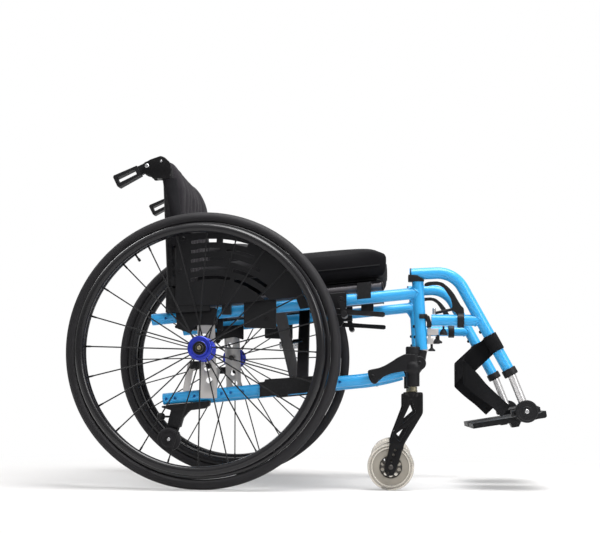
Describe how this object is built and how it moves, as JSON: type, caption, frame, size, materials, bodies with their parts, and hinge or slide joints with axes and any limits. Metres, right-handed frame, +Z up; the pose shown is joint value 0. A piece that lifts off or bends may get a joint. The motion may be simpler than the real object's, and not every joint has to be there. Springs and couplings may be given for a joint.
{
  "type": "active wheelchair",
  "caption": "Folding active wheelchair with cambered rear wheels and push rims, swivel casters, cross brace, swing-away footrests, side guards, brakes and an anti-tip wheel.",
  "frame": {"origin": "on the floor, under the middle of the chair's length and width", "axes": "+X points forward, +Y to the user's left, +Z up"},
  "size_m": [1.0306, 0.6594, 0.7286],
  "materials": {
    "frame_blue": "gloss azure powder coat",
    "black_cast": "satin black cast aluminium",
    "black_plastic": "moulded black",
    "tyre": "bare black rubber",
    "rim_black": "gloss black anodised",
    "hub_blue": "cobalt blue anodised, with black spokes",
    "aluminium": "brushed",
    "silver_tube": "satin",
    "steel": "turned",
    "brace_grey": "dark grey satin",
    "caster_tyre": "clear grey polyurethane",
    "seat_fabric": "black woven cover",
    "back_fabric": "dark grey woven cover",
    "webbing": "black webbing"
  },
  "bodies": {
    "right_frame": {"upper_frame_right": "frame_blue", "lower_tube_right": "frame_blue", "axle_plate_right": "aluminium", "caster_housing_right": "black_cast", "back_cane_right": "black_cast", "side_guard_right": "black_plastic", "brace_bearing_right": "black_plastic", "seat_rail_cradle_right": "black_plastic", "brake_mount_right": "black_cast", "quick_release_axle_right": "steel", "anti_tip_leg": "black_plastic", "back_sling": "back_fabric"},
    "left_frame": {"upper_frame_left": "frame_blue", "lower_tube_left": "frame_blue", "axle_plate_left": "aluminium", "caster_housing_left": "black_cast", "back_cane_left": "black_cast", "side_guard_left": "black_plastic", "brace_bearing_left": "black_plastic", "seat_rail_cradle_left": "black_plastic", "brake_mount_left": "black_cast", "quick_release_axle_left": "steel"},
    "cross_arm_a": {"cross_arm_a": "brace_grey", "seat_sling": "seat_fabric", "seat_cushion": "seat_fabric"},
    "cross_arm_b": {"cross_arm_b": "brace_grey"},
    "rear_wheel_right": {"tyre_right": "tyre", "wheel_rim_right": "rim_black", "hub_and_spokes_right": "hub_blue", "handrim_right": "rim_black"},
    "rear_wheel_left": {"tyre_left": "tyre", "wheel_rim_left": "rim_black", "hub_and_spokes_left": "hub_blue", "handrim_left": "rim_black"},
    "release_button_right": {"release_button_right": "steel"},
    "release_button_left": {"release_button_left": "steel"},
    "caster_fork_right": {"caster_fork_right": "black_cast"},
    "caster_fork_left": {"caster_fork_left": "black_cast"},
    "caster_wheel_right": {"caster_wheel_right": "caster_tyre"},
    "caster_wheel_left": {"caster_wheel_left": "caster_tyre"},
    "hanger_right": {"hanger_tube_right": "frame_blue", "hanger_latch_right": "black_plastic", "heel_strap_right": "webbing"},
    "hanger_left": {"hanger_tube_left": "frame_blue", "hanger_latch_left": "black_plastic", "heel_strap_left": "webbing"},
    "release_lever_right": {"release_lever_right": "black_plastic"},
    "release_lever_left": {"release_lever_left": "black_plastic"},
    "footrest_right": {"footrest_tube_right": "silver_tube"},
    "footrest_left": {"footrest_tube_left": "silver_tube"},
    "footplate_right": {"footplate_right": "black_plastic"},
    "footplate_left": {"footplate_left": "black_plastic"},
    "push_handle_right": {"push_handle_right": "black_plastic"},
    "push_handle_left": {"push_handle_left": "black_plastic"},
    "brake_lever_right": {"brake_lever_right": "black_cast"},
    "brake_lever_left": {"brake_lever_left": "black_cast"},
    "brake_shoe_right": {"brake_shoe_right": "black_cast"},
    "brake_shoe_left": {"brake_shoe_left": "black_cast"},
    "anti_tip_wheel": {"anti_tip_wheel": "tyre"},
    "anti_tip_knob": {"anti_tip_knob": "black_plastic"}
  },
  "joints": [
    {"name": "fold", "type": "hinge", "parent": "right_frame", "child": "cross_arm_a", "pos_m": [-0.01327, -0.182, 0.22476], "axis": [0.9945, 0, 0.1045], "range_deg": [0, 42], "deforming": ["seat_sling", "seat_cushion", "back_sling"]},
    {"name": "brace_pivot", "type": "hinge", "parent": "cross_arm_a", "child": "cross_arm_b", "pos_m": [-0.02343, 0, 0.32144], "axis": [0.9945, 0, 0.1045], "range_deg": [-84, 0]},
    {"name": "left_frame_hinge", "type": "hinge", "parent": "cross_arm_b", "child": "left_frame", "pos_m": [-0.05127, 0.182, 0.22076], "axis": [0.9945, 0, 0.1045], "range_deg": [0, 42]},
    {"name": "rear_wheel_spin_right", "type": "hinge", "parent": "right_frame", "child": "rear_wheel_right", "pos_m": [-0.22027, -0.272, 0.29446], "axis": [0, 0.9998, -0.0175], "continuous": true},
    {"name": "rear_wheel_spin_left", "type": "hinge", "parent": "left_frame", "child": "rear_wheel_left", "pos_m": [-0.22027, 0.272, 0.29446], "axis": [0, 0.9998, 0.0175], "continuous": true},
    {"name": "release_button_slide_right", "type": "slide", "parent": "right_frame", "child": "release_button_right", "axis": [0, 0.9998, -0.0175], "range_m": [0, 0.004], "stiffness_N_per_m": 400, "springref_m": -0.002},
    {"name": "release_button_slide_left", "type": "slide", "parent": "left_frame", "child": "release_button_left", "axis": [0, -0.9998, -0.0175], "range_m": [0, 0.004], "stiffness_N_per_m": 400, "springref_m": -0.002},
    {"name": "caster_swivel_right", "type": "hinge", "parent": "right_frame", "child": "caster_fork_right", "pos_m": [0.22623, -0.218, 0.2078], "axis": [0, 0, 1], "continuous": true},
    {"name": "caster_swivel_left", "type": "hinge", "parent": "left_frame", "child": "caster_fork_left", "pos_m": [0.22623, 0.218, 0.2078], "axis": [0, 0, 1], "continuous": true},
    {"name": "caster_wheel_spin_right", "type": "hinge", "parent": "caster_fork_right", "child": "caster_wheel_right", "pos_m": [0.17923, -0.218, 0.0495], "axis": [0, 1, 0], "continuous": true},
    {"name": "caster_wheel_spin_left", "type": "hinge", "parent": "caster_fork_left", "child": "caster_wheel_left", "pos_m": [0.17923, 0.218, 0.0495], "axis": [0, 1, 0], "continuous": true},
    {"name": "hanger_swing_right", "type": "hinge", "parent": "right_frame", "child": "hanger_right", "pos_m": [0.23713, -0.208, 0.4452], "axis": [0.0558, 0, -0.9984], "range_deg": [0, 90]},
    {"name": "hanger_swing_left", "type": "hinge", "parent": "left_frame", "child": "hanger_left", "pos_m": [0.23713, 0.208, 0.4452], "axis": [-0.0558, 0, 0.9984], "range_deg": [0, 90]},
    {"name": "release_lever_turn_right", "type": "hinge", "parent": "hanger_right", "child": "release_lever_right", "pos_m": [0.32873, -0.208, 0.3624], "axis": [-1, 0, 0], "range_deg": [0, 30], "stiffness_Nm_per_rad": 0.2, "springref_deg": -11.46},
    {"name": "release_lever_turn_left", "type": "hinge", "parent": "hanger_left", "child": "release_lever_left", "pos_m": [0.32873, 0.208, 0.3624], "axis": [1, 0, 0], "range_deg": [0, 30], "stiffness_Nm_per_rad": 0.2, "springref_deg": -11.46},
    {"name": "footrest_slide_right", "type": "slide", "parent": "hanger_right", "child": "footrest_right", "axis": [0.4802, 0, -0.8771], "range_m": [0, 0.06], "deforming": ["heel_strap_right"]},
    {"name": "footrest_slide_left", "type": "slide", "parent": "hanger_left", "child": "footrest_left", "axis": [0.4802, 0, -0.8771], "range_m": [0, 0.06], "deforming": ["heel_strap_left"]},
    {"name": "footplate_flip_right", "type": "hinge", "parent": "footrest_right", "child": "footplate_right", "pos_m": [0.46693, -0.178, 0.1688], "axis": [0.9863, 0, 0.165], "range_deg": [0, 90]},
    {"name": "footplate_flip_left", "type": "hinge", "parent": "footrest_left", "child": "footplate_left", "pos_m": [0.46693, 0.178, 0.1688], "axis": [-0.9863, 0, -0.165], "range_deg": [0, 90]},
    {"name": "push_handle_fold_right", "type": "hinge", "parent": "right_frame", "child": "push_handle_right", "pos_m": [-0.35856, -0.208, 0.7006], "axis": [0, -1, 0], "range_deg": [0, 50]},
    {"name": "push_handle_fold_left", "type": "hinge", "parent": "left_frame", "child": "push_handle_left", "pos_m": [-0.35856, 0.208, 0.7006], "axis": [0, -1, 0], "range_deg": [0, 50]},
    {"name": "brake_lever_turn_right", "type": "hinge", "parent": "right_frame", "child": "brake_lever_right", "pos_m": [0.04173, -0.2255, 0.38004], "axis": [0, 1, 0], "range_deg": [0, 45]},
    {"name": "brake_lever_turn_left", "type": "hinge", "parent": "left_frame", "child": "brake_lever_left", "pos_m": [0.04173, 0.2255, 0.38004], "axis": [0, 1, 0], "range_deg": [0, 45]},
    {"name": "brake_shoe_turn_right", "type": "hinge", "parent": "right_frame", "child": "brake_shoe_right", "pos_m": [0.07203, -0.2365, 0.40342], "axis": [0, 1, 0], "range_deg": [0, 10.5]},
    {"name": "brake_shoe_turn_left", "type": "hinge", "parent": "left_frame", "child": "brake_shoe_left", "pos_m": [0.07203, 0.2365, 0.40342], "axis": [0, 1, 0], "range_deg": [0, 10.5]},
    {"name": "anti_tip_wheel_spin", "type": "hinge", "parent": "right_frame", "child": "anti_tip_wheel", "pos_m": [-0.29627, -0.208, 0.1025], "axis": [0, 1, 0], "continuous": true},
    {"name": "anti_tip_knob_pull", "type": "slide", "parent": "right_frame", "child": "anti_tip_knob", "axis": [-1, 0, 0], "range_m": [0, 0.005], "stiffness_N_per_m": 500, "springref_m": -0.002}
  ],
  "couplings": [
    {"joint": "brace_pivot", "follows": "fold", "ratio": -2},
    {"joint": "left_frame_hinge", "follows": "fold", "ratio": 1},
    {"joint": "footplate_flip_right", "follows": "fold", "ratio": 2.1429},
    {"joint": "footplate_flip_left", "follows": "fold", "ratio": 2.1429},
    {"joint": "brake_shoe_turn_right", "follows": "brake_lever_turn_right", "ratio": 0.23333},
    {"joint": "brake_shoe_turn_left", "follows": "brake_lever_turn_left", "ratio": 0.23333}
  ]
}
